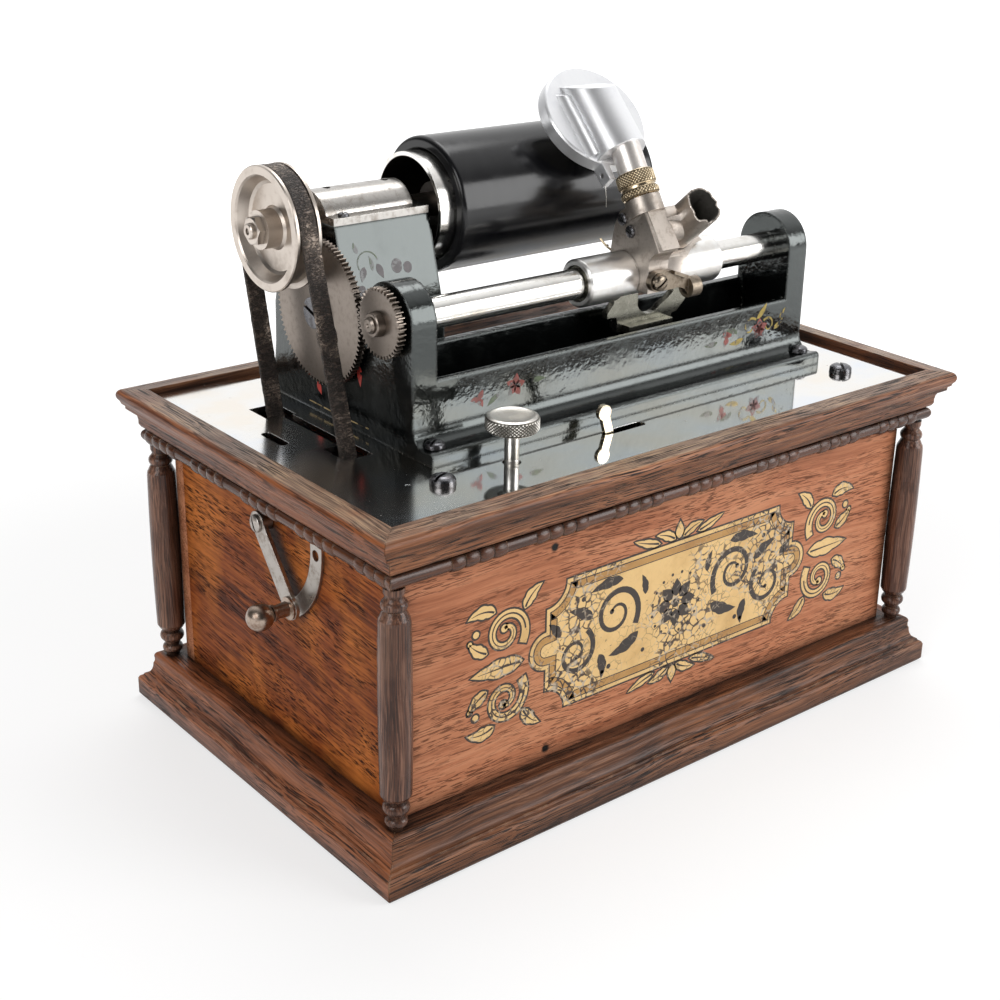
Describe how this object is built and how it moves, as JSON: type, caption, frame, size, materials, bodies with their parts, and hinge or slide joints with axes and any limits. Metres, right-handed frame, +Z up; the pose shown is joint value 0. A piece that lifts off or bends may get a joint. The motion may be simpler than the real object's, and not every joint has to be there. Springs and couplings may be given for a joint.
{
  "type": "cylinder phonograph",
  "caption": "Spring-driven cylinder phonograph: black cast bed with mandrel, wax cylinder, belt, gears and sliding reproducer on a wooden case with turned corner columns.",
  "frame": {"origin": "middle of the case's underside, halfway between the four column axes", "axes": "+X along the case from the pulley end to the open end of the mandrel, +Y to the back, +Z up"},
  "size_m": [0.3133, 0.1926, 0.2682],
  "materials": {
    "wood_dark": "dark stained oak mouldings",
    "wood_mid": "brown varnished oak",
    "wood_warm": "warm brown varnished oak",
    "ebony": "near-black turned wood",
    "nickel": "polished nickel plate",
    "dull_nickel": "worn satin nickel",
    "japan": "glossy black japan on cast iron",
    "blackened": "blackened steel",
    "brass": "aged brass",
    "steel": "plain steel",
    "wax": "black wax with a satin sheen",
    "leather": "dark wrinkled leather",
    "aluminium": "polished cast aluminium",
    "mica": "thin pale mica"
  },
  "bodies": {
    "case": {"base_front": "wood_dark", "base_back": "wood_dark", "base_left": "wood_dark", "base_right": "wood_dark", "bottom_board": "wood_mid", "panel_front": "wood_mid", "panel_back": "wood_mid", "panel_left": "wood_warm", "panel_right": "wood_warm", "columns": "ebony", "bead_front": "wood_dark", "bead_back": "wood_dark", "bead_left": "wood_dark", "bead_right": "wood_dark", "frame_front": "wood_dark", "frame_back": "wood_dark", "frame_left": "wood_dark", "frame_right": "wood_dark", "bedplate": "nickel", "bedplate_screws": "steel", "bed_casting": "japan", "casting_screws": "steel", "bearing_cap": "nickel", "bearing_bush": "brass", "idler_stud": "blackened", "feed_tube": "nickel", "drive_belt": "leather", "lever_bracket": "steel", "lever_screws": "steel", "quadrant_strip": "steel", "motor_plates": "steel", "motor_pillars": "brass"},
    "mandrel": {"mandrel_shaft": "steel", "mandrel": "nickel", "mandrel_pulley": "dull_nickel", "pulley_nut": "steel"},
    "record": {"record_cylinder": "wax"},
    "idler": {"idler_gear": "dull_nickel"},
    "feed": {"feed_gear": "dull_nickel", "feed_screw": "steel"},
    "carriage": {"carriage_bush": "steel"},
    "arm": {"carriage_sleeve": "nickel", "carriage_head": "dull_nickel", "head_screws": "blackened", "reproducer_body": "aluminium", "diaphragm": "mica", "retaining_ring": "steel", "stylus_lever": "steel", "reproducer_neck": "nickel", "clamp_collar": "brass"},
    "lift": {"lift_lever": "dull_nickel"},
    "speed": {"speed_screw": "nickel"},
    "start": {"start_lever": "brass"},
    "side": {"side_lever": "steel", "side_knob": "dull_nickel"},
    "barrel": {"spring_barrel": "brass"},
    "winding": {"mainspring": "steel"},
    "middle": {"mid_wheel": "brass"},
    "drive": {"drive_arbor": "steel"},
    "governor": {"governor": "brass"}
  },
  "joints": [
    {"name": "mandrel_spin", "type": "hinge", "parent": "case", "child": "mandrel", "pos_m": [0, 0.0332, 0.2175], "axis": [1, 0, 0], "continuous": true},
    {"name": "record_slide", "type": "slide", "parent": "mandrel", "child": "record", "axis": [1, 0, 0], "range_m": [0, 0.12]},
    {"name": "idler_spin", "type": "hinge", "parent": "case", "child": "idler", "pos_m": [-0.1001, 0.02183, 0.18498], "axis": [1, 0, 0], "continuous": true},
    {"name": "feed_spin", "type": "hinge", "parent": "case", "child": "feed", "pos_m": [0, -0.0194, 0.1905], "axis": [1, 0, 0], "continuous": true},
    {"name": "carriage_slide", "type": "slide", "parent": "case", "child": "carriage", "axis": [1, 0, 0], "range_m": [-0.066, 0.034]},
    {"name": "reproducer_lift", "type": "hinge", "parent": "carriage", "child": "arm", "pos_m": [0.026, -0.0194, 0.1905], "axis": [1, 0, 0], "range_deg": [0, 35]},
    {"name": "lift_lever_turn", "type": "hinge", "parent": "arm", "child": "lift", "pos_m": [0.0234, -0.0348, 0.1909], "axis": [0, -1, 0], "range_deg": [-12, 12]},
    {"name": "speed_turn", "type": "hinge", "parent": "case", "child": "speed", "pos_m": [-0.069, -0.0587, 0.15], "axis": [0, 0, 1], "range_deg": [-180, 180]},
    {"name": "start_turn", "type": "hinge", "parent": "case", "child": "start", "pos_m": [-0.0103, -0.0566, 0.1138], "axis": [0, 1, 0], "range_deg": [0, 34]},
    {"name": "side_lever_turn", "type": "hinge", "parent": "case", "child": "side", "pos_m": [-0.141, 0.0048, 0.1123], "axis": [-1, 0, 0], "range_deg": [0, 48]},
    {"name": "drive_spin", "type": "hinge", "parent": "case", "child": "drive", "pos_m": [0, -0.0038, 0.0773], "axis": [1, 0, 0], "continuous": true},
    {"name": "middle_spin", "type": "hinge", "parent": "case", "child": "middle", "pos_m": [0, 0.0155, 0.0935], "axis": [1, 0, 0], "continuous": true},
    {"name": "barrel_spin", "type": "hinge", "parent": "case", "child": "barrel", "pos_m": [-0.046, 0.0323, 0.0644], "axis": [1, 0, 0], "continuous": true},
    {"name": "governor_spin", "type": "hinge", "parent": "case", "child": "governor", "pos_m": [0, -0.02306, 0.07029], "axis": [1, 0, 0], "continuous": true},
    {"name": "winding_turn", "type": "hinge", "parent": "case", "child": "winding", "pos_m": [0, 0.0323, 0.0644], "axis": [1, 0, 0], "continuous": true}
  ],
  "couplings": [
    {"joint": "idler_spin", "follows": "mandrel_spin", "ratio": -0.20455},
    {"joint": "feed_spin", "follows": "mandrel_spin", "ratio": 0.45},
    {"joint": "drive_spin", "follows": "mandrel_spin", "ratio": 0.87218},
    {"joint": "middle_spin", "follows": "mandrel_spin", "ratio": -0.14536},
    {"joint": "barrel_spin", "follows": "mandrel_spin", "ratio": 0.020766},
    {"joint": "governor_spin", "follows": "mandrel_spin", "ratio": -6.2797}
  ]
}
